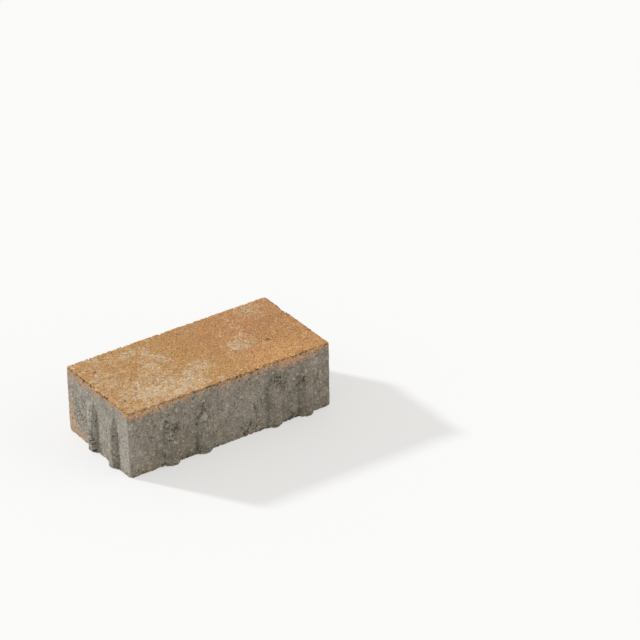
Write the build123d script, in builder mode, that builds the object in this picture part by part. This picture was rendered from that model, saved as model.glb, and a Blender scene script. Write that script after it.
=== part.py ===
from build123d import *

import math
import os

# Concrete paving stone, 200 x 100 x 60 mm format: one vibration-pressed block with spacer ribs on its sides.
# X runs along the stone, Y across it and Z up. The origin is the middle of the bedding face.

# Block
grid_length = 200.0  # laying grid along X: the stone and one joint
grid_width = 100.0  # laying grid along Y
thickness = 60.0  # bedding face to walking face
joint = 4.0  # open joint that the ribs keep between two stones
corner_radius = 2.0  # upright corners, as the mould leaves them
arris_radius = 1.5  # worn edge round the walking face

# Spacer ribs: upright, with a flat crest and sloping flanks, and a tapered nose below the coloured face
rib_module = 100.0  # one pair of ribs for each such length of side
rib_pitch = 15.5  # step between the meshing ribs of two neighbouring stones
rib_width = 15.0  # across a rib where it leaves the side
rib_flats = 12  # sides of the bar that a rib is part of: one is the crest, the next ones the flanks
rib_tip_depth = 12.0  # from the walking face down to the tip of the nose
rib_nose_length = 20.0  # over which a rib swells to its full depth
nose_overrun = 5.0  # how far the nose runs on inside the block

# Worked out from those
body_length = grid_length - joint
body_width = grid_width - joint
rib_radius = (rib_width**2 / 4 + joint**2) / (2 * joint)  # bar centre to the crest
rib_inset = rib_radius - joint  # rib centre behind the side
rib_shoulder = thickness - rib_tip_depth - rib_nose_length
nose_slope = math.degrees(math.atan2(joint, rib_nose_length))
flat_turn = 180 / rib_flats  # turns a flat of the bar, and not a corner, outwards


def rib_offsets(grid_side):
    """Places of the ribs along a side, from its middle, rightwards for a viewer who faces that side."""
    modules = max(1, round(grid_side / rib_module))
    first_middle = -(modules - 1) * rib_module / 2
    middles = [first_middle + rib_module * i for i in range(modules)]
    # Of the four meshing places in a module, the second and the fourth are this stone's own.
    return [middle + step * rib_pitch / 2 for middle in middles for step in (-1, 3)]


def rib_centres():
    """Rib centres on all four sides. Half a turn about Z brings the stone back onto itself."""
    long_side = body_width / 2 - rib_inset
    end_side = body_length / 2 - rib_inset
    front_back = [(turn * x, -turn * long_side) for turn in (1, -1) for x in rib_offsets(grid_length)]
    ends = [(turn * end_side, turn * y) for turn in (1, -1) for y in rib_offsets(grid_width)]
    return front_back + ends


with BuildPart() as paving_stone:
    # Block with rounded upright corners
    with BuildSketch(Plane.XY):
        RectangleRounded(body_length, body_width, corner_radius)
    extrude(amount=thickness)
    walking_face = paving_stone.faces().sort_by(Axis.Z)[-1]
    fillet(walking_face.edges(), radius=arris_radius)

    # Straight part of every rib, up from the bedding face
    with BuildSketch(Plane.XY):
        with Locations(*rib_centres()):
            RegularPolygon(rib_radius, rib_flats, major_radius=False, rotation=flat_turn)
    extrude(amount=rib_shoulder)

    # Tapered nose of every rib, which dies into the side at its tip
    with BuildSketch(Plane.XY.offset(rib_shoulder)):
        with Locations(*rib_centres()):
            RegularPolygon(rib_radius, rib_flats, major_radius=False, rotation=flat_turn)
    extrude(amount=rib_nose_length + nose_overrun, taper=nose_slope)

paving_stone.part.label = "paving_stone"

os.makedirs("parts", exist_ok=True)
export_step(paving_stone.part, "parts/paving_stone.step")
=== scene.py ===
import bpy
import math
import numpy as np
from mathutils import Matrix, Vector, noise


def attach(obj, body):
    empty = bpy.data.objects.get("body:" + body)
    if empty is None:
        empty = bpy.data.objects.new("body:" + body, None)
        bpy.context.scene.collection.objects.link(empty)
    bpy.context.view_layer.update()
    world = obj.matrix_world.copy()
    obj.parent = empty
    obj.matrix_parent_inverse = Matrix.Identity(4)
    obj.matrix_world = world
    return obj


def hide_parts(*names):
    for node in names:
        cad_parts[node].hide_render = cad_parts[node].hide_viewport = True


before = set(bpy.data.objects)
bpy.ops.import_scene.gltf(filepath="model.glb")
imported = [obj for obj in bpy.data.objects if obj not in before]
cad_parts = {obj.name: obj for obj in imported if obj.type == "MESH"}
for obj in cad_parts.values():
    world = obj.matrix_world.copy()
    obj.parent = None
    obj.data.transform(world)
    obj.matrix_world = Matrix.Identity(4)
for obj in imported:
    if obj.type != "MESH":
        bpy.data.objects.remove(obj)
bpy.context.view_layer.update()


# Small helpers

def deselectAll():
    bpy.ops.object.select_all(action="DESELECT")


def applyModifier(obj, kind, **settings):  # adds a modifier with its settings and applies it
    bpy.context.view_layer.objects.active = obj
    modifier = obj.modifiers.new(kind.title(), kind)
    for name, value in settings.items():
        setattr(modifier, name, value)
    bpy.ops.object.modifier_apply(modifier=modifier.name)


def selectEdges(obj, wanted):  # wanted(a, b) looks at the edge's two end points
    mesh = obj.data
    bpy.ops.object.mode_set(mode="EDIT")
    bpy.ops.mesh.select_mode(type="EDGE")
    bpy.ops.mesh.select_all(action="DESELECT")
    bpy.ops.object.mode_set(mode="OBJECT")
    for edge in mesh.edges:
        edge.select = wanted(mesh.vertices[edge.vertices[0]].co, mesh.vertices[edge.vertices[1]].co)
    bpy.ops.object.mode_set(mode="EDIT")


def smoothStep(low, high, x):
    t = np.clip((x - low) / (high - low), 0, 1)
    return t * t * (3 - 2 * t)


def fadeOut(limits, x):  # one up to the first limit, nothing past the second
    return 1 - smoothStep(limits[0], limits[1], x)


# Block: rounded upright corners, softened arris, spacer ribs on all four sides
stone = {
    "length": 0.196,
    "width": 0.096,
    "height": 0.060,
    "cornerRadius": 0.002,
    "arrisRadius": 0.0006,
    "ribWidth": 0.015,
    "ribDepth": 0.004,
    "ribFlats": 12,
    "ribShoulder": 0.028,
    "ribNose": 0.020,
    "noseOverrun": 0.005,
    "noseSteps": 6,
    "ribsLong": (-0.05775, -0.02675, 0.04225, 0.07325),  # rightwards, seen from outside
    "ribsEnd": (-0.00775, 0.02325),
    "cornerSteps": 4,
    "arrisSteps": 3,
    "nearlyLevel": 1e-5,
    "voxel": 0.0005,
    "triangles": 194000,
}
halfLength = stone["length"] / 2
halfWidth = stone["width"] / 2
height = stone["height"]

deselectAll()
bpy.ops.mesh.primitive_cube_add(size=1, location=(0, 0, height / 2))
block = bpy.context.object
block.name = "pavingStone"
block.scale = (stone["length"], stone["width"], height)
bpy.ops.object.transform_apply(location=True, rotation=True, scale=True)
selectEdges(block, lambda a, b: abs(a.z - b.z) > height / 2)
bpy.ops.mesh.bevel(offset=stone["cornerRadius"], segments=stone["cornerSteps"], affect="EDGES")
bpy.ops.object.mode_set(mode="OBJECT")
selectEdges(block, lambda a, b: min(a.z, b.z) > height - stone["nearlyLevel"])
bpy.ops.mesh.bevel(offset=stone["arrisRadius"], segments=stone["arrisSteps"], affect="EDGES")
bpy.ops.object.mode_set(mode="OBJECT")

# One rib: a twelve-sided bar with a flat crest, its top face drawn up in steps and ever more in,
# so that the nose is round and dies into the side
ribRadius = (stone["ribWidth"] ** 2 / 4 + stone["ribDepth"] ** 2) / (2 * stone["ribDepth"])
ribInset = ribRadius - stone["ribDepth"]
noseRun = stone["ribNose"] + stone["noseOverrun"]
deselectAll()
halfFlat = math.pi / stone["ribFlats"]  # turns a flat of the bar outwards
bpy.ops.mesh.primitive_cylinder_add(
    vertices=stone["ribFlats"],
    radius=ribRadius / math.cos(halfFlat),
    depth=stone["ribShoulder"],
    location=(0, 0, stone["ribShoulder"] / 2),
    rotation=(0, 0, halfFlat),
)
rib = bpy.context.object
bpy.ops.object.transform_apply(location=True, rotation=True, scale=True)
selectEdges(rib, lambda a, b: min(a.z, b.z) > stone["ribShoulder"] - stone["nearlyLevel"])
bpy.ops.mesh.select_mode(type="FACE")
reach = ribRadius
stepRise = noseRun / stone["noseSteps"]
for step in range(1, stone["noseSteps"] + 1):
    rise = noseRun * step / stone["noseSteps"]
    nextReach = ribInset + stone["ribDepth"] * (1 - (rise / stone["ribNose"]) ** 2)
    bpy.ops.mesh.extrude_region_move(TRANSFORM_OT_translate={"value": (0, 0, stepRise)})
    shrink = nextReach / reach
    middle = (0, 0, stone["ribShoulder"] + rise)
    bpy.ops.transform.resize(value=(shrink, shrink, 1), center_override=middle)
    reach = nextReach
bpy.ops.object.mode_set(mode="OBJECT")

ribPlaces = [(turn * x, -turn * (halfWidth - ribInset)) for turn in (1, -1) for x in stone["ribsLong"]]
ribPlaces += [(turn * (halfLength - ribInset), turn * y) for turn in (1, -1) for y in stone["ribsEnd"]]
ribs = [rib]
while len(ribs) < len(ribPlaces):
    deselectAll()
    rib.select_set(True)
    bpy.context.view_layer.objects.active = rib
    bpy.ops.object.duplicate()
    ribs.append(bpy.context.object)
deselectAll()
for piece, (x, y) in zip(ribs, ribPlaces):
    piece.location = (x, y, 0)
    piece.select_set(True)
block.select_set(True)
bpy.context.view_layer.objects.active = block
bpy.ops.object.join()
bpy.ops.object.transform_apply(location=True, rotation=True, scale=True)
applyModifier(block, "REMESH", mode="VOXEL", voxel_size=stone["voxel"])
print("block remeshed", len(block.data.vertices), "points")


# Relief of the pressed concrete, pushed in by displace modifiers through painted weights
relief = {
    "voidSpots": (  # honeycombed places: x, y, z, reach in metres and how open they are
        (-0.055, -0.050, 0.034, 0.0055, 1.0),
        (-0.059, -0.050, 0.025, 0.0050, 0.7),
        (-0.064, -0.050, 0.031, 0.0035, 0.35),
        (0.045, -0.050, 0.043, 0.006, 0.7),
        (0.050, -0.050, 0.036, 0.005, 0.7),
        (0.070, -0.050, 0.036, 0.004, 0.5),
        (0.016, -0.050, 0.007, 0.008, 0.6),
        (-0.078, -0.050, 0.030, 0.005, 0.5),
        (-0.100, 0.028, 0.020, 0.010, 0.35),
        (-0.102, -0.017, 0.036, 0.003, 1.0),
        (-0.102, 0.006, 0.011, 0.005, 0.8),
        (0.030, 0.050, 0.026, 0.008, 0.6),
        (-0.040, 0.050, 0.038, 0.006, 0.5),
        (0.100, 0.010, 0.030, 0.006, 0.5),
    ),
    "scarCracks": (  # round a torn lump on the front: x and z of both ends, how deep
        (-0.0262, 0.0465, -0.0282, 0.0435, 1.0),
        (-0.0282, 0.0435, -0.0305, 0.0385, 0.9),
        (-0.0305, 0.0385, -0.0345, 0.0325, 0.7),
        (-0.0275, 0.0425, -0.0250, 0.0380, 0.7),
        (-0.0235, 0.0355, -0.0225, 0.0330, 0.5),
        (-0.0300, 0.0298, -0.0262, 0.0304, 1.0),
        (-0.0262, 0.0304, -0.0222, 0.0334, 0.9),
    ),
    "crackSeed": 4,
    "crackGrain": 0.0035,
    "crackWander": 0.0016,
    "crackReach": 0.0010,
    "patchSize": 0.020,  # drifts of open surface, of painted crease shade and of the painted edge highlight
    "patchShift": (3.1, 7.7, 1.3),
    "patchVoids": (0.25, 0.65),
    "patchRimPores": (-0.2, 0.4),
    "patchHighlight": (-0.35, 0.25),
    "patchShade": (-0.5, 0.3),
    "patchOpen": 0.4,
    "spotFade": (0.3, 1.5),  # of a spot's reach
    "sideFade": (0.0003, 0.0010),  # fades in metres: behind the side, then from the top or the bottom
    "upperRimFade": ((0.0002, 0.0024), (0.0002, 0.0026)),
    "lowerRimFade": ((0.0004, 0.0030), (0.0006, 0.0050)),
    "topFade": ((0.0010, 0.0030), (0.0002, 0.0006)),
    "highlightFade": ((0.0010, 0.0026), (0.0003, 0.0009)),
    "voidTopFade": (0.004, 0.009),
    "rimPoreFade": ((0.0002, 0.0008), (0.0012, 0.0034)),
    "rimPoreOpen": 0.95,
    "weightSteps": 40,
    # painted shade in the creases beside the ribs and on their flanks
    "creaseReach": 0.0016,
    "creaseFade": (-0.0020, 0.0),
    "creaseShadeShare": 0.30,
    "flankFade": ((0.25, 0.60), (0.95, 1.10)),  # of a rib's half width
    "flankShadeShare": (0.08, 0.33),  # long sides, ends
    "sideBand": 0.002,
    "tipFade": (0.0015, 0.0030),
    "thinnest": 0.0001,
    "cavityFade": (0.0003, 0.0013),
    "rimCavity": 0.1,
}

# Where each kind of relief goes, worked out for every point of the mesh
mesh = block.data
count = len(mesh.vertices)
flat = np.empty(count * 3)
mesh.vertices.foreach_get("co", flat)
plain = flat.reshape(-1, 3).copy()
inX = halfLength - abs(plain[:, 0])
inY = halfWidth - abs(plain[:, 1])
inSide = np.minimum(inX, inY)  # depth behind the nearest side, below zero on a rib
under = plain[:, 2]
over = height - plain[:, 2]
onSide = fadeOut(relief["sideFade"], inSide)
upperRim = fadeOut(relief["upperRimFade"][0], inSide) * fadeOut(relief["upperRimFade"][1], over)
lowerRim = fadeOut(relief["lowerRimFade"][0], inSide) * fadeOut(relief["lowerRimFade"][1], under)
onTop = fadeOut(relief["topFade"][1], over) * smoothStep(*relief["topFade"][0], inSide)
patchShift = Vector(relief["patchShift"])
patches = np.array([noise.noise(Vector(point) / relief["patchSize"] + patchShift) for point in plain])
# painted highlight along the edge of the walking face, broken up by the drifts
edgeHighlight = fadeOut(relief["highlightFade"][1], over) * fadeOut(relief["highlightFade"][0], inSide)
edgeHighlight *= smoothStep(*relief["patchHighlight"], patches)
voids = smoothStep(*relief["patchVoids"], patches) * relief["patchOpen"]
for x, y, z, reach, openness in relief["voidSpots"]:
    gap = np.sqrt(((plain - np.array((x, y, z))) ** 2).sum(1))
    voids = np.maximum(voids, openness * fadeOut([share * reach for share in relief["spotFade"]], gap))
voids *= onSide * smoothStep(*relief["voidTopFade"], over)
rimPores = onSide * smoothStep(*relief["rimPoreFade"][0], over) * fadeOut(relief["rimPoreFade"][1], over)
rimPores *= smoothStep(*relief["patchRimPores"], patches)

# Cracks round the torn lump: near a wandering line on the front
scar = np.zeros(count)
noise.seed_set(relief["crackSeed"])  # the wander of the cracks is the only thing drawn at random
onFront = np.nonzero((plain[:, 1] < 0) & (onSide > 0))[0]
wander = np.array([noise.noise_vector(Vector(point) / relief["crackGrain"]) for point in plain[onFront]])
wander *= relief["crackWander"]
frontX = plain[onFront, 0] + wander[:, 0]
frontZ = plain[onFront, 2] + wander[:, 2]
for x1, z1, x2, z2, deep in relief["scarCracks"]:
    runX = x2 - x1
    runZ = z2 - z1
    along = ((frontX - x1) * runX + (frontZ - z1) * runZ) / (runX ** 2 + runZ ** 2)
    along = np.clip(along, 0, 1)
    gap = np.hypot(frontX - x1 - along * runX, frontZ - z1 - along * runZ)
    scar[onFront] = np.maximum(scar[onFront], deep * np.exp(-(gap / relief["crackReach"]) ** 2))
scar *= onSide

painted = {
    "side": onSide,
    "upperRim": upperRim,
    "lowerRim": lowerRim,
    "top": onTop,
    "voids": voids,
    "scar": scar,
}
for name, weights in painted.items():
    group = block.vertex_groups.new(name=name)
    levels = np.rint(weights * relief["weightSteps"]).astype(int)
    for level in range(1, relief["weightSteps"] + 1):
        picked = np.nonzero(levels == level)[0]
        if len(picked):
            group.add(picked.tolist(), level / relief["weightSteps"], "REPLACE")
print("weights painted")


# Clouds of that size in metres, cut to pits by low and high
def reliefTexture(name, size, depth, low=None, high=None):
    texture = bpy.data.textures.new(name, "CLOUDS")
    texture.noise_scale = size
    texture.noise_depth = depth
    if low is not None:
        texture.use_color_ramp = True
        ramp = texture.color_ramp
        ramp.elements[0].position = low
        ramp.elements[1].position = high
        ramp.elements[0].color = (0, 0, 0, 1)
        ramp.elements[1].color = (1, 1, 1, 1)
    return texture


displacements = (  # weights, texture, strength in metres, level that stays in place
    ("side", reliefTexture("sideWave", 0.015, 1), 0.0005, 0.5),
    ("side", reliefTexture("sideGrit", 0.0024, 2), 0.0006, 0.5),
    ("voids", reliefTexture("honeycomb", 0.0022, 1, 0.54, 0.70), -0.0020, 0.0),
    ("scar", reliefTexture("scarEdge", 0.0030, 2), -0.0034, 0.0),
    ("side", reliefTexture("blowHoles", 0.0026, 1, 0.74, 0.84), -0.0010, 0.0),
    ("upperRim", reliefTexture("rimCrumble", 0.0022, 2, 0.52, 0.66), -0.0015, 0.0),
    ("upperRim", reliefTexture("rimChips", 0.0075, 3, 0.56, 0.68), -0.0013, 0.0),
    ("lowerRim", reliefTexture("burr", 0.0050, 3), 0.0022, 0.5),
    ("lowerRim", reliefTexture("burrCrumbs", 0.0022, 2, 0.45, 0.75), -0.0009, 0.0),
    ("top", reliefTexture("topPits", 0.0020, 1, 0.78, 0.86), -0.0006, 0.0),
)
for weights, texture, strength, level in displacements:
    applyModifier(
        block, "DISPLACE", vertex_group=weights, texture=texture, texture_coords="LOCAL",
        strength=strength, mid_level=level,
    )
mesh.vertices.foreach_get("co", flat)
rough = flat.reshape(-1, 3)
rough[:, 2] = np.maximum(rough[:, 2], 0)  # nothing under the bedding face
mesh.vertices.foreach_set("co", rough.ravel())
mesh.update()

# Painted shade on the flanks of the ribs and in the creases beside them
paintedCreaseShade = np.zeros(count)
noseShare = np.clip((under - stone["ribShoulder"]) / stone["ribNose"], 0, 1)
ribReach = ribRadius - stone["ribDepth"] * noseShare ** 2
ribHalf = np.sqrt(np.maximum(ribReach ** 2 - ribInset ** 2, 0))
for index, (x, y) in enumerate(ribPlaces):
    onLong = index < 2 * len(stone["ribsLong"])
    if onLong:
        across = abs(plain[:, 0] - x)
        sameSide = (plain[:, 1] * y > 0) & (inY < relief["sideBand"])
    else:
        across = abs(plain[:, 1] - y)
        sameSide = (plain[:, 0] * x > 0) & (inX < relief["sideBand"])
    edge = np.exp(-((across - ribHalf) / relief["creaseReach"]) ** 2)
    edge *= smoothStep(*relief["creaseFade"], inSide)
    share = across / np.maximum(ribHalf, relief["thinnest"])
    flank = smoothStep(*relief["flankFade"][0], share) * fadeOut(relief["flankFade"][1], share)
    ribShade = np.maximum(edge * relief["creaseShadeShare"], flank * relief["flankShadeShare"][0 if onLong else 1])
    paintedCreaseShade = np.maximum(paintedCreaseShade, ribShade * sameSide * smoothStep(*relief["tipFade"], ribHalf))
paintedCreaseShade *= smoothStep(*relief["patchShade"], patches)

# Kept for the material: painted shade by how deep each point was pushed in and in the rib creases and on
# their flanks, where the concrete is porous, and a painted highlight along the edge of the walking face
normals = np.empty(count * 3)
mesh.vertices.foreach_get("normal", normals)
depth = ((plain - rough) * normals.reshape(-1, 3)).sum(1)
# painted shade in the pushed-in pits, with less of it at the upper rim
cavityShade = smoothStep(*relief["cavityFade"], depth) * (1 - relief["rimCavity"] * upperRim)
kept = {
    "cavityShade": np.maximum(cavityShade, paintedCreaseShade),
    "porous": np.maximum(voids, relief["rimPoreOpen"] * rimPores),
    "edgeHighlight": edgeHighlight,
}
for name, values in kept.items():
    attribute = mesh.attributes.new(name, "FLOAT", "POINT")
    attribute.data.foreach_set("value", values.astype(np.float32))
while block.vertex_groups:
    block.vertex_groups.remove(block.vertex_groups[0])
triangles = sum(len(face.vertices) - 2 for face in mesh.polygons)
applyModifier(block, "DECIMATE", ratio=stone["triangles"] / triangles)
deselectAll()
block.select_set(True)
bpy.context.view_layer.objects.active = block
bpy.ops.object.shade_smooth()
print("relief done", triangles, "triangles thinned to", len(block.data.polygons), "faces")


# Material helpers

def linearColor(code):  # sRGB hex to linear
    shares = [int(code[start:start + 2], 16) / 255 for start in (1, 3, 5)]
    shares = [share / 12.92 if share <= 0.04045 else ((share + 0.055) / 1.055) ** 2.4 for share in shares]
    return shares + [1]


def addNode(tree, kind, settings=None, links=None):  # one node with its settings, values and links
    node = tree.nodes.new(kind)
    for name, value in (settings or {}).items():
        setattr(node, name, value)
    for name, value in (links or {}).items():
        if isinstance(value, bpy.types.NodeSocket):
            tree.links.new(value, node.inputs[name])
        else:
            node.inputs[name].default_value = value
    return node


# Settings that many nodes share
times = {"operation": "MULTIPLY"}
timesPlus = {"operation": "MULTIPLY_ADD"}
lessThan = {"operation": "LESS_THAN"}
larger = {"operation": "MAXIMUM"}
smooth = {"interpolation_type": "SMOOTHSTEP"}
mixed = {"data_type": "RGBA"}
shaded = {"data_type": "RGBA", "blend_type": "MULTIPLY"}


# Pressed concrete, rough and matt: ochre and cream sand facing over a grey core with grit and open pores
concrete = {
    "ochre": "#BC8C53",
    "cream": "#D1B998",
    "rust": "#BE8755",
    "sandPale": "#E4D4BC",
    "sandDark": "#62523F",
    "greyDark": "#7A7469",
    "greyLight": "#9F998F",
    "grit": "#BBB4A7",
    "gritDark": "#5E584E",
    "gritWarm": "#A8906F",
    # band colours: painted light on the long sides, painted shade on the ends
    "facingSidePaintedLight": "#CAA078",
    "facingEndPaintedShade": "#B08A66",
    "stain": "#B6977A",
    # colour of the painted shade in pits, pores and creases
    "pitShade": "#2F2A23",
    "fleck": "#89867D",
    "sandSize": 0.0008,  # grains and clouds in metres
    "gritSize": 0.0026,
    "poreSize": 0.0016,
    "fineSize": 0.0011,
    "crumbSize": 0.0028,
    "dragSize": 0.0027,
    "cloudSize": 0.008,
    "broadSize": 0.016,
    "swirlReach": 0.03,
    "rippleReach": 0.006,
    "bandWave": 0.021,  # border of the facing on the sides, in metres
    "bandCrumble": 0.016,
    "bandEdge": (0.0705, 0.0785),
    "topCrumble": 0.0012,
    "topEdge": (0.0598, 0.0602),
    "endEdge": (0.0955, 0.0978),
    "creamEdge": (0.000, -0.045),  # along the stone
    "rustEdge": (-0.030, 0.070),
    "reliefHeight": 0.0008,
    "creamByCloud": 1.9,  # shares in which a cause adds to a look
    "creamByCrumb": 1.5,
    "creamPaste": 0.42,
    "creamGrains": 0.42,
    "greyStart": -2.55,
    "greyByCloud": 2.4,
    "greyByDrag": 1.8,
    "greyByFine": 1.9,
    "dragStretch": 0.24,
    "bandPaste": 0.62,
    "bandGrains": 0.30,
    "stainPaste": 0.45,
    "stainGrains": 0.30,
    "poreCut": 0.70,
    "poreCutOpen": -0.14,
    "poreShare": 0.050,
    "poreShareOpen": 0.8,
    "poreShareTop": -0.043,
    "sandHollow": -0.35,
    "poreHollow": -0.6,
    "creamSpots": (  # x, y, z, half sizes in metres, strength
        (-0.048, -0.030, 0.060, 0.060, 0.040, 0.05, 0.36),
        (-0.032, -0.036, 0.060, 0.024, 0.024, 0.05, 0.25),
        (-0.070, -0.022, 0.060, 0.030, 0.026, 0.05, 0.22),
        (-0.088, 0.012, 0.060, 0.020, 0.020, 0.05, 0.30),
        (-0.033, 0.014, 0.060, 0.018, 0.014, 0.05, 0.50),
        (-0.045, 0.034, 0.060, 0.024, 0.009, 0.05, 0.45),
        (-0.080, 0.040, 0.060, 0.030, 0.018, 0.05, 0.20),
        (0.036, -0.006, 0.060, 0.020, 0.017, 0.05, 0.75),
        (0.050, 0.018, 0.060, 0.008, 0.024, 0.05, 0.35),
        (0.074, 0.038, 0.060, 0.026, 0.018, 0.05, 0.60),
        (-0.007, -0.016, 0.060, 0.016, 0.014, 0.05, 0.50),
        (-0.004, -0.042, 0.060, 0.014, 0.010, 0.05, 0.35),
    ),
    "toneSpots": (  # brighter and darker parts of the walking face
        (0.055, -0.040, 0.060, 0.060, 0.030, 0.05, 0.22),
        (-0.050, -0.040, 0.060, 0.060, 0.024, 0.05, 0.06),
        (0.005, 0.020, 0.060, 0.050, 0.050, 0.05, -0.02),
        (0.080, 0.010, 0.060, 0.030, 0.040, 0.05, -0.04),
    ),
    "rustSpots": (
        (0.039, -0.021, 0.060, 0.020, 0.016, 0.05, 0.6),
        (0.062, 0.020, 0.060, 0.060, 0.048, 0.05, 0.5),
        (0.024, 0.018, 0.060, 0.036, 0.036, 0.05, 0.3),
    ),
    "pitSpots": (
        (0.0605, -0.0130, 0.060, 0.0026, 0.0026, 0.01, 3.0),
        (0.0762, 0.0120, 0.060, 0.0014, 0.0014, 0.01, 2.0),
        (0.0740, -0.0070, 0.060, 0.0013, 0.0013, 0.01, 2.0),
        (-0.0850, 0.0250, 0.060, 0.0020, 0.0016, 0.01, 2.0),
        (0.0040, -0.0340, 0.060, 0.0012, 0.0012, 0.01, 2.0),
        (-0.0890, -0.0280, 0.060, 0.0014, 0.0014, 0.01, 2.0),
    ),
    "fleckSpots": (
        (0.0586, 0.0044, 0.060, 0.0024, 0.0022, 0.01, 2.0),
        (0.0700, 0.0398, 0.060, 0.0017, 0.0017, 0.01, 2.0),
        (0.0454, -0.0103, 0.060, 0.0020, 0.0018, 0.01, 2.0),
    ),
    "bandSpots": (  # where the facing reaches deeper down the side, strength in metres
        (-0.090, -0.050, 0.058, 0.030, 0.02, 0.02, 0.0030),
        (0.066, -0.050, 0.056, 0.024, 0.02, 0.02, 0.0045),
        (0.096, -0.050, 0.058, 0.014, 0.02, 0.02, -0.0030),
        (-0.100, 0.020, 0.058, 0.02, 0.055, 0.02, 0.0022),
        (-0.100, -0.035, 0.058, 0.02, 0.024, 0.02, -0.0010),
        (-0.025, -0.050, 0.058, 0.016, 0.02, 0.02, -0.0030),
    ),
    "stainSpots": (
        (-0.100, 0.046, 0.000, 0.026, 0.046, 0.016, 1.3),
        (-0.100, 0.049, 0.010, 0.022, 0.018, 0.034, 1.3),
        (-0.080, -0.049, 0.0025, 0.0040, 0.01, 0.0040, 1.2),
        (-0.035, -0.050, 0.000, 0.016, 0.012, 0.003, 0.8),
        (0.020, -0.050, 0.000, 0.024, 0.012, 0.003, 0.8),
        (-0.100, -0.008, 0.001, 0.010, 0.006, 0.004, 1.0),
        (-0.100, 0.0125, 0.042, 0.008, 0.0045, 0.006, 0.7),
        (-0.100, -0.046, 0.000, 0.012, 0.012, 0.004, 0.8),
        (-0.0065, -0.048, 0.0475, 0.0026, 0.006, 0.0022, 1.2),
        (-0.0585, -0.048, 0.0245, 0.0026, 0.008, 0.0018, 1.2),
        (0.098, -0.040, 0.002, 0.010, 0.020, 0.010, 0.7),
        (0.050, 0.050, 0.000, 0.040, 0.012, 0.006, 0.7),
    ),
    "lumpSpots": (  # bare grit that the tear has laid open
        (-0.0268, -0.050, 0.0345, 0.0046, 0.01, 0.0062, 0.8),
        (-0.0200, -0.050, 0.0370, 0.0026, 0.01, 0.0040, 0.7),
        (0.0830, -0.050, 0.0470, 0.0036, 0.01, 0.0050, 0.8),
        (0.0840, -0.050, 0.0370, 0.0026, 0.01, 0.0036, 0.7),
        (0.0220, -0.048, 0.0340, 0.0030, 0.01, 0.0060, 0.7),
    ),
    "paleSpots": (  # lighter places of the core
        (0.008, -0.050, 0.026, 0.046, 0.02, 0.034, 0.48),
        (-0.0275, -0.052, 0.034, 0.0056, 0.01, 0.0070, 1.6),
        (-0.0622, -0.050, 0.023, 0.0011, 0.01, 0.015, 0.8),
        (0.082, -0.050, 0.046, 0.008, 0.01, 0.010, 0.56),
        (0.0215, -0.048, 0.030, 0.005, 0.01, 0.012, 0.48),
        (-0.100, 0.014, 0.030, 0.01, 0.004, 0.018, 0.56),
        (-0.100, -0.017, 0.026, 0.01, 0.004, 0.018, 0.56),
        (-0.098, -0.040, 0.026, 0.02, 0.016, 0.040, 0.88),
        (-0.098, -0.006, 0.024, 0.02, 0.014, 0.032, 0.4),
    ),
}
material = bpy.data.materials.new("pressedConcrete")
material.use_nodes = True
tree = material.node_tree
tree.nodes.clear()
coords = addNode(tree, "ShaderNodeTexCoord").outputs["Object"]
place = addNode(tree, "ShaderNodeSeparateXYZ", None, {0: coords})


def spotField(vector, start, spots):  # adds up soft spots over a starting value
    total = start
    for x, y, z, halfX, halfY, halfZ, strength in spots:
        spot = addNode(
            tree, "ShaderNodeMapping", {"vector_type": "TEXTURE"},
            {"Vector": vector, "Location": (x, y, z), "Scale": (halfX, halfY, halfZ)},
        )
        spot = addNode(
            tree, "ShaderNodeTexGradient", {"gradient_type": "SPHERICAL"}, {"Vector": spot.outputs[0]}
        )
        total = addNode(
            tree, "ShaderNodeMath", timesPlus, {0: spot.outputs["Fac"], 1: strength, 2: total}
        )
        total = total.outputs[0]
    return total


# Grains: sand of about 0.8 mm in the facing, grit of about 2.6 mm in the core, each with its own shade
sand = addNode(tree, "ShaderNodeTexVoronoi", None, {"Vector": coords, "Scale": 1 / concrete["sandSize"]})
sandShade = addNode(tree, "ShaderNodeSeparateColor", None, {0: sand.outputs["Color"]})
grit = addNode(tree, "ShaderNodeTexVoronoi", None, {"Vector": coords, "Scale": 1 / concrete["gritSize"]})
gritShade = addNode(tree, "ShaderNodeSeparateColor", None, {0: grit.outputs["Color"]})
broad = addNode(
    tree, "ShaderNodeTexNoise", None, {"Vector": coords, "Scale": 1 / concrete["broadSize"], "Detail": 3}
)
cloud = addNode(
    tree, "ShaderNodeTexNoise", None,
    {"Vector": coords, "Scale": 1 / concrete["cloudSize"], "Detail": 6, "Roughness": 0.7},
)
crumb = addNode(
    tree, "ShaderNodeTexNoise", None, {"Vector": coords, "Scale": 1 / concrete["crumbSize"], "Detail": 4}
)
fine = addNode(
    tree, "ShaderNodeTexNoise", None,
    {"Vector": coords, "Scale": 1 / concrete["fineSize"], "Detail": 4, "Roughness": 0.6},
)

# Swirled coordinates give the colour spots ragged edges
greyMiddle = (0.5, 0.5, 0.5)
swirlReach = (concrete["swirlReach"], concrete["swirlReach"], 0)
rippleReach = (concrete["rippleReach"],) * 3
swirl = addNode(
    tree, "ShaderNodeVectorMath", {"operation": "SUBTRACT"}, {0: cloud.outputs["Color"], 1: greyMiddle}
)
swirled = addNode(
    tree, "ShaderNodeVectorMath", timesPlus, {0: swirl.outputs[0], 1: swirlReach, 2: coords}
).outputs[0]
ripple = addNode(
    tree, "ShaderNodeVectorMath", {"operation": "SUBTRACT"}, {0: crumb.outputs["Color"], 1: greyMiddle}
)
rippled = addNode(
    tree, "ShaderNodeVectorMath", timesPlus, {0: ripple.outputs[0], 1: rippleReach, 2: coords}
).outputs[0]

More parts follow.
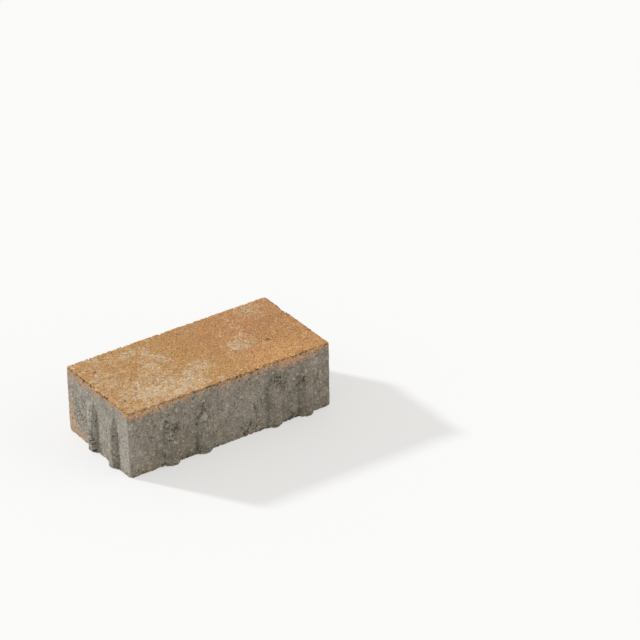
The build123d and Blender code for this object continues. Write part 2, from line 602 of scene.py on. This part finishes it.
# Where the facing ends: an uneven border some 6 mm under the walking face, and the walking face itself
lift = addNode(
    tree, "ShaderNodeMath", timesPlus,
    {0: cloud.outputs["Fac"], 1: concrete["bandWave"], 2: place.outputs["Z"]},
)
lift = addNode(
    tree, "ShaderNodeMath", timesPlus,
    {0: crumb.outputs["Fac"], 1: concrete["bandCrumble"], 2: lift.outputs[0]},
)
lift = spotField(coords, lift.outputs[0], concrete["bandSpots"])
facing = addNode(
    tree, "ShaderNodeMapRange", smooth,
    {"Value": lift, "From Min": concrete["bandEdge"][0], "From Max": concrete["bandEdge"][1]},
)
topLift = addNode(
    tree, "ShaderNodeMath", timesPlus,
    {0: crumb.outputs["Fac"], 1: concrete["topCrumble"], 2: place.outputs["Z"]},
)
topMask = addNode(
    tree, "ShaderNodeMapRange", smooth,
    {
        "Value": topLift.outputs[0],
        "From Min": concrete["topEdge"][0],
        "From Max": concrete["topEdge"][1],
    },
)

# Facing colour: ochre, rustier to the right, with cream clouds that break up into single grains
creamStart = addNode(
    tree, "ShaderNodeMapRange", smooth,
    {
        "Value": place.outputs["X"],
        "From Min": concrete["creamEdge"][0],
        "From Max": concrete["creamEdge"][1],
        "To Min": -1.70,
        "To Max": -1.52,
    },
)
creamStart = addNode(
    tree, "ShaderNodeMath", timesPlus,
    {0: cloud.outputs["Fac"], 1: concrete["creamByCloud"], 2: creamStart.outputs[0]},
)
creamStart = addNode(
    tree, "ShaderNodeMath", timesPlus,
    {0: crumb.outputs["Fac"], 1: concrete["creamByCrumb"], 2: creamStart.outputs[0]},
)
cream = spotField(swirled, creamStart.outputs[0], concrete["creamSpots"])
creamPart = addNode(
    tree, "ShaderNodeMapRange", smooth, {"Value": cream, "From Min": 0.05, "From Max": 0.85}
)
creamGrain = addNode(
    tree, "ShaderNodeMath", lessThan, {0: sandShade.outputs["Red"], 1: creamPart.outputs[0]}
)
creamMix = addNode(tree, "ShaderNodeMath", times, {0: creamPart.outputs[0], 1: concrete["creamPaste"]})
creamMix = addNode(
    tree, "ShaderNodeMath", {"operation": "MULTIPLY_ADD", "use_clamp": True},
    {0: creamGrain.outputs[0], 1: concrete["creamGrains"], 2: creamMix.outputs[0]},
)
rustStart = addNode(
    tree, "ShaderNodeMapRange", smooth,
    {
        "Value": place.outputs["X"],
        "From Min": concrete["rustEdge"][0],
        "From Max": concrete["rustEdge"][1],
        "To Min": -0.55,
        "To Max": -0.10,
    },
)
rustStart = addNode(
    tree, "ShaderNodeMath", {"operation": "ADD"}, {0: broad.outputs["Fac"], 1: rustStart.outputs[0]}
)
rust = spotField(swirled, rustStart.outputs[0], concrete["rustSpots"])
rustPart = addNode(
    tree, "ShaderNodeMapRange", smooth, {"Value": rust, "From Min": -0.1, "From Max": 1.0}
)
facingColor = addNode(
    tree, "ShaderNodeMix", mixed,
    {0: rustPart.outputs[0], 6: linearColor(concrete["ochre"]), 7: linearColor(concrete["rust"])},
)
facingColor = addNode(
    tree, "ShaderNodeMix", mixed,
    {0: creamMix.outputs[0], 6: facingColor.outputs[2], 7: linearColor(concrete["cream"])},
)
paleSand = addNode(
    tree, "ShaderNodeMapRange", None,
    {"Value": sandShade.outputs["Green"], "From Min": 0.92, "From Max": 0.97, "To Max": 0.85},
)
paleShare = addNode(
    tree, "ShaderNodeMapRange", None, {"Value": creamPart.outputs[0], "To Min": 0.50, "To Max": 1.0}
)
paleSand = addNode(tree, "ShaderNodeMath", times, {0: paleSand.outputs[0], 1: paleShare.outputs[0]})
facingColor = addNode(
    tree, "ShaderNodeMix", mixed,
    {0: paleSand.outputs[0], 6: facingColor.outputs[2], 7: linearColor(concrete["sandPale"])},
)
darkSand = addNode(
    tree, "ShaderNodeMapRange", None,
    {"Value": sandShade.outputs["Green"], "From Min": 0.06, "From Max": 0.02, "To Max": 0.65},
)
facingColor = addNode(
    tree, "ShaderNodeMix", mixed,
    {0: darkSand.outputs[0], 6: facingColor.outputs[2], 7: linearColor(concrete["sandDark"])},
)
sandTone = addNode(
    tree, "ShaderNodeMapRange", None,
    {"Value": sandShade.outputs["Blue"], "To Min": 0.68, "To Max": 1.32},
)
facingColor = addNode(
    tree, "ShaderNodeMix", shaded, {0: 1.0, 6: facingColor.outputs[2], 7: sandTone.outputs[0]}
)
faceTone = spotField(swirled, 1.0, concrete["toneSpots"])
faceTone = addNode(tree, "ShaderNodeMix", shaded, {0: 1.0, 6: facingColor.outputs[2], 7: faceTone})
# Painted highlight: the walking face is lighter along its edge
highlightPart = addNode(tree, "ShaderNodeAttribute", {"attribute_name": "edgeHighlight"})
highlightTone = addNode(
    tree, "ShaderNodeMapRange", None, {"Value": highlightPart.outputs["Fac"], "To Min": 1.0, "To Max": 1.24}
)
faceTone = addNode(
    tree, "ShaderNodeMix", shaded, {0: 1.0, 6: faceTone.outputs[2], 7: highlightTone.outputs[0]}
)
fleck = spotField(rippled, 0.0, concrete["fleckSpots"])
fleck = addNode(
    tree, "ShaderNodeMapRange", None, {"Value": fleck, "From Min": 0.3, "From Max": 0.9, "To Max": 0.8}
)
facingColor = addNode(
    tree, "ShaderNodeMix", mixed,
    {0: fleck.outputs[0], 6: faceTone.outputs[2], 7: linearColor(concrete["fleck"])},
)

# Core colour: grey paste, soft pale and dark grit, faint upright drag marks from the mould
drag = addNode(
    tree, "ShaderNodeMapping", None, {"Vector": coords, "Scale": (1, 1, concrete["dragStretch"])}
)
drag = addNode(
    tree, "ShaderNodeTexNoise", None,
    {"Vector": drag.outputs[0], "Scale": 1 / concrete["dragSize"], "Detail": 4, "Roughness": 0.6},
)
greyPart = spotField(rippled, concrete["greyStart"], concrete["paleSpots"])
greyPart = addNode(
    tree, "ShaderNodeMath", timesPlus, {0: cloud.outputs["Fac"], 1: concrete["greyByCloud"], 2: greyPart}
)
greyPart = addNode(
    tree, "ShaderNodeMath", timesPlus,
    {0: drag.outputs["Fac"], 1: concrete["greyByDrag"], 2: greyPart.outputs[0]},
)
greyPart = addNode(
    tree, "ShaderNodeMath", timesPlus,
    {0: fine.outputs["Fac"], 1: concrete["greyByFine"], 2: greyPart.outputs[0]},
)
coreColor = addNode(
    tree, "ShaderNodeMix", mixed,
    {
        0: greyPart.outputs[0],
        6: linearColor(concrete["greyDark"]),
        7: linearColor(concrete["greyLight"]),
    },
)
gritRound = addNode(
    tree, "ShaderNodeMapRange", smooth,
    {"Value": grit.outputs["Distance"], "From Min": 0.70, "From Max": 0.35},
)
gritPale = addNode(
    tree, "ShaderNodeMapRange", None,
    {"Value": gritShade.outputs["Red"], "From Min": 0.80, "From Max": 1.0, "To Max": 0.90},
)
gritPale = addNode(tree, "ShaderNodeMath", times, {0: gritRound.outputs[0], 1: gritPale.outputs[0]})
coreColor = addNode(
    tree, "ShaderNodeMix", mixed,
    {0: gritPale.outputs[0], 6: coreColor.outputs[2], 7: linearColor(concrete["grit"])},
)
gritDark = addNode(
    tree, "ShaderNodeMapRange", None,
    {"Value": gritShade.outputs["Red"], "From Min": 0.15, "From Max": 0.0, "To Max": 0.55},
)
gritDark = addNode(tree, "ShaderNodeMath", times, {0: gritRound.outputs[0], 1: gritDark.outputs[0]})
coreColor = addNode(
    tree, "ShaderNodeMix", mixed,
    {0: gritDark.outputs[0], 6: coreColor.outputs[2], 7: linearColor(concrete["gritDark"])},
)
lump = spotField(rippled, 0.0, concrete["lumpSpots"])
lump = addNode(
    tree, "ShaderNodeMapRange", None, {"Value": lump, "From Min": 0.2, "From Max": 0.9, "To Max": 0.75}
)
coreColor = addNode(
    tree, "ShaderNodeMix", mixed,
    {0: lump.outputs[0], 6: coreColor.outputs[2], 7: linearColor(concrete["grit"])},
)
tintPart = addNode(
    tree, "ShaderNodeMapRange", None,
    {"Value": sandShade.outputs["Green"], "From Min": 0.75, "From Max": 1.0, "To Max": 0.45},
)
coreColor = addNode(
    tree, "ShaderNodeMix", mixed,
    {0: tintPart.outputs[0], 6: coreColor.outputs[2], 7: linearColor(concrete["gritWarm"])},
)
sandRound = addNode(
    tree, "ShaderNodeMapRange", smooth,
    {"Value": sand.outputs["Distance"], "From Min": 0.70, "From Max": 0.40},
)
brightGrain = addNode(
    tree, "ShaderNodeMapRange", None,
    {"Value": sandShade.outputs["Red"], "From Min": 0.88, "From Max": 1.0, "To Max": 1.15},
)
darkGrain = addNode(
    tree, "ShaderNodeMapRange", None,
    {"Value": sandShade.outputs["Red"], "From Min": 0.11, "From Max": 0.0, "To Max": 0.75},
)
grainTone = addNode(
    tree, "ShaderNodeMath", {"operation": "SUBTRACT"},
    {0: brightGrain.outputs[0], 1: darkGrain.outputs[0]},
)
coreTone = addNode(
    tree, "ShaderNodeMapRange", None,
    {"Value": sandShade.outputs["Blue"], "To Min": 0.82, "To Max": 1.18},
)
coreTone = addNode(
    tree, "ShaderNodeMath", timesPlus,
    {0: grainTone.outputs[0], 1: sandRound.outputs[0], 2: coreTone.outputs[0]},
)
coreColor = addNode(
    tree, "ShaderNodeMix", shaded, {0: 1.0, 6: coreColor.outputs[2], 7: coreTone.outputs[0]}
)

# Sides: the facing shows as a thin uneven band, and facing slurry has run over some corners
bandGrain = addNode(
    tree, "ShaderNodeMath", lessThan, {0: sandShade.outputs["Green"], 1: facing.outputs[0]}
)
endPart = addNode(tree, "ShaderNodeMath", {"operation": "ABSOLUTE"}, {0: place.outputs["X"]})
endPart = addNode(
    tree, "ShaderNodeMapRange", None,
    {
        "Value": endPart.outputs[0],
        "From Min": concrete["endEdge"][0],
        "From Max": concrete["endEdge"][1],
    },
)
bandPart = addNode(tree, "ShaderNodeMath", times, {0: facing.outputs[0], 1: concrete["bandPaste"]})
bandPart = addNode(
    tree, "ShaderNodeMath", timesPlus,
    {0: bandGrain.outputs[0], 1: concrete["bandGrains"], 2: bandPart.outputs[0]},
)
# Painted light and shade: the band is lighter on the long sides to lift the shade on the front, and
# darker on the ends where the key falls
bandColor = addNode(
    tree, "ShaderNodeMix", mixed,
    {
        0: endPart.outputs[0],
        6: linearColor(concrete["facingSidePaintedLight"]),
        7: linearColor(concrete["facingEndPaintedShade"]),
    },
)
bandColor = addNode(
    tree, "ShaderNodeMix", shaded, {0: 1.0, 6: bandColor.outputs[2], 7: coreTone.outputs[0]}
)
sideColor = addNode(
    tree, "ShaderNodeMix", mixed,
    {0: bandPart.outputs[0], 6: coreColor.outputs[2], 7: bandColor.outputs[2]},
)
stain = spotField(rippled, 0.0, concrete["stainSpots"])
stain = addNode(tree, "ShaderNodeMapRange", smooth, {"Value": stain, "From Min": 0.05, "From Max": 0.75})
stainGrain = addNode(
    tree, "ShaderNodeMath", lessThan, {0: sandShade.outputs["Red"], 1: stain.outputs[0]}
)
stainPart = addNode(tree, "ShaderNodeMath", times, {0: stain.outputs[0], 1: concrete["stainPaste"]})
stainPart = addNode(
    tree, "ShaderNodeMath", timesPlus,
    {0: stainGrain.outputs[0], 1: concrete["stainGrains"], 2: stainPart.outputs[0]},
)
stainColor = addNode(
    tree, "ShaderNodeMix", shaded, {0: 1.0, 6: linearColor(concrete["stain"]), 7: coreTone.outputs[0]}
)
sideColor = addNode(
    tree, "ShaderNodeMix", mixed,
    {0: stainPart.outputs[0], 6: sideColor.outputs[2], 7: stainColor.outputs[2]},
)
allColor = addNode(
    tree, "ShaderNodeMix", mixed,
    {0: topMask.outputs[0], 6: sideColor.outputs[2], 7: facingColor.outputs[2]},
)

# Painted shade: the pits in the mesh, the finer pores between the grains and the rib creases and flanks
# are darkened
cavityShadePart = addNode(tree, "ShaderNodeAttribute", {"attribute_name": "cavityShade"})
porous = addNode(tree, "ShaderNodeAttribute", {"attribute_name": "porous"})
pore = addNode(
    tree, "ShaderNodeTexNoise", None, {"Vector": coords, "Scale": 1 / concrete["poreSize"], "Detail": 1}
)
poreCut = addNode(
    tree, "ShaderNodeMath", timesPlus,
    {0: porous.outputs["Fac"], 1: concrete["poreCutOpen"], 2: concrete["poreCut"]},
)
porePart = addNode(
    tree, "ShaderNodeMath", {"operation": "SUBTRACT"}, {0: pore.outputs["Fac"], 1: poreCut.outputs[0]}
)
porePart = addNode(tree, "ShaderNodeMapRange", None, {"Value": porePart.outputs[0], "From Max": 0.05})
poreCell = addNode(
    tree, "ShaderNodeTexVoronoi", None, {"Vector": rippled, "Scale": 1 / concrete["poreSize"]}
)
poreShade = addNode(tree, "ShaderNodeSeparateColor", None, {0: poreCell.outputs["Color"]})
poreShare = addNode(
    tree, "ShaderNodeMath", timesPlus,
    {0: porous.outputs["Fac"], 1: concrete["poreShareOpen"], 2: concrete["poreShare"]},
)
poreShare = addNode(
    tree, "ShaderNodeMath", timesPlus,
    {0: topMask.outputs[0], 1: concrete["poreShareTop"], 2: poreShare.outputs[0]},
)
poreDot = addNode(
    tree, "ShaderNodeMath", lessThan, {0: poreShade.outputs["Red"], 1: poreShare.outputs[0]}
)
poreRound = addNode(
    tree, "ShaderNodeMapRange", None,
    {"Value": poreCell.outputs["Distance"], "From Min": 0.48, "From Max": 0.34},
)
poreDot = addNode(tree, "ShaderNodeMath", times, {0: poreDot.outputs[0], 1: poreRound.outputs[0]})
poreDepth = addNode(
    tree, "ShaderNodeMapRange", None,
    {"Value": poreShade.outputs["Green"], "To Min": 0.45, "To Max": 1.0},
)
poreDot = addNode(tree, "ShaderNodeMath", times, {0: poreDot.outputs[0], 1: poreDepth.outputs[0]})
porePart = addNode(tree, "ShaderNodeMath", larger, {0: porePart.outputs[0], 1: poreDot.outputs[0]})
pitPart = spotField(rippled, 0.0, concrete["pitSpots"])
pitPart = addNode(tree, "ShaderNodeMapRange", None, {"Value": pitPart, "From Min": 0.3, "From Max": 1.0})
porePart = addNode(tree, "ShaderNodeMath", larger, {0: porePart.outputs[0], 1: pitPart.outputs[0]})
paintedShadePart = addNode(
    tree, "ShaderNodeMath", larger, {0: porePart.outputs[0], 1: cavityShadePart.outputs["Fac"]}
)
# more painted shade in the holes of porous places
holeShade = addNode(
    tree, "ShaderNodeMapRange", None, {"Value": porous.outputs["Fac"], "To Min": 0.70, "To Max": 0.92}
)
paintedShadePart = addNode(tree, "ShaderNodeMath", times, {0: paintedShadePart.outputs[0], 1: holeShade.outputs[0]})
allColor = addNode(
    tree, "ShaderNodeMix", mixed,
    {0: paintedShadePart.outputs[0], 6: allColor.outputs[2], 7: linearColor(concrete["pitShade"])},
)

# Relief finer than the mesh: sand grains stand out, pores go in
grainRise = addNode(
    tree, "ShaderNodeMath", timesPlus,
    {0: sand.outputs["Distance"], 1: concrete["sandHollow"], 2: fine.outputs["Fac"]},
)
grainRise = addNode(
    tree, "ShaderNodeMath", timesPlus,
    {0: porePart.outputs[0], 1: concrete["poreHollow"], 2: grainRise.outputs[0]},
)
bump = addNode(
    tree, "ShaderNodeBump", None,
    {"Strength": 0.9, "Distance": concrete["reliefHeight"], "Height": grainRise.outputs[0]},
)
dullness = addNode(
    tree, "ShaderNodeMapRange", None, {"Value": fine.outputs["Fac"], "To Min": 0.84, "To Max": 1.0}
)
shader = addNode(
    tree, "ShaderNodeBsdfPrincipled", None,
    {
        "Base Color": allColor.outputs[2],
        "Roughness": dullness.outputs[0],
        "IOR": 1.5,
        "Normal": bump.outputs[0],
    },
)
addNode(tree, "ShaderNodeOutputMaterial", None, {"Surface": shader.outputs[0]})
block.data.materials.clear()
block.data.materials.append(material)
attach(block, "root")
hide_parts("paving_stone")
print("concrete mixed")


# Floor, light and camera
studio = {
    "floor": "#F4F4F2",
    "floorSize": 14,
    "shadowShare": 0.5,
    "keyAngle": 5,
    "keyStrength": 2.87,
    "keyTowards": (0.63, -1.0, -0.60),
    "keyColor": (0.95, 0.975, 1.0),
    "fill": 0.575,
    "fillColor": (1.0, 0.98, 0.95),
    "frontAngle": 60,
    "frontStrength": 0.62,
    "frontColor": (1.0, 0.88, 0.70),
    "frontTowards": (-0.85, 0.75, -0.32),
    "lens": 200,
    "sensorWidth": 36,
    "clipEnd": 50,
    "cameraPlace": (-1.32697, -2.14353, 1.53513),
    "cameraTurn": (60.1575, 0.9104, -34.5667),
}
deselectAll()
bpy.ops.mesh.primitive_plane_add(size=studio["floorSize"], location=(0, 0, 0))
floor = bpy.context.object
floor.name = "floor"
# Matt white paper, brightened for the camera so that the shadow stays faint
paper = bpy.data.materials.new("whitePaper")
paper.use_nodes = True
sheetTree = paper.node_tree
sheetTree.nodes.clear()
sheet = addNode(sheetTree, "ShaderNodeBsdfDiffuse", None, {"Color": linearColor(studio["floor"])})
glow = addNode(sheetTree, "ShaderNodeEmission", None, {"Color": (1, 1, 1, 1), "Strength": 1.0})
path = addNode(sheetTree, "ShaderNodeLightPath")
seen = path.outputs["Is Camera Ray"]
for ray in ("Is Glossy Ray", "Is Transmission Ray"):
    seen = addNode(sheetTree, "ShaderNodeMath", larger, {0: seen, 1: path.outputs[ray]}).outputs[0]
seen = addNode(sheetTree, "ShaderNodeMath", times, {0: seen, 1: 1 - studio["shadowShare"]})
sheet = addNode(
    sheetTree, "ShaderNodeMixShader", None, {0: seen.outputs[0], 1: sheet.outputs[0], 2: glow.outputs[0]}
)
addNode(sheetTree, "ShaderNodeOutputMaterial", None, {"Surface": sheet.outputs[0]})
floor.data.materials.append(paper)

for name in ("key", "front"):
    lamp = bpy.data.lights.new(name, "SUN")
    lamp.energy = studio[name + "Strength"]
    lamp.color = studio[name + "Color"]
    lamp.angle = math.radians(studio[name + "Angle"])
    sun = bpy.data.objects.new(name, lamp)
    bpy.context.scene.collection.objects.link(sun)
    sun.rotation_euler = Vector(studio[name + "Towards"]).to_track_quat("-Z", "Y").to_euler()

world = bpy.data.worlds.new("studio")
bpy.context.scene.world = world
world.use_nodes = True
sky = world.node_tree.nodes["Background"]
sky.inputs["Color"].default_value = studio["fillColor"] + (1,)
sky.inputs["Strength"].default_value = studio["fill"]

cameraData = bpy.data.cameras.new("camera")
cameraData.lens = studio["lens"]
cameraData.sensor_width = studio["sensorWidth"]
cameraData.clip_end = studio["clipEnd"]
camera = bpy.data.objects.new("camera", cameraData)
bpy.context.scene.collection.objects.link(camera)
camera.location = studio["cameraPlace"]
camera.rotation_euler = [math.radians(turn) for turn in studio["cameraTurn"]]
bpy.context.scene.camera = camera
bpy.context.scene.view_settings.view_transform = "Standard"
print("studio set")
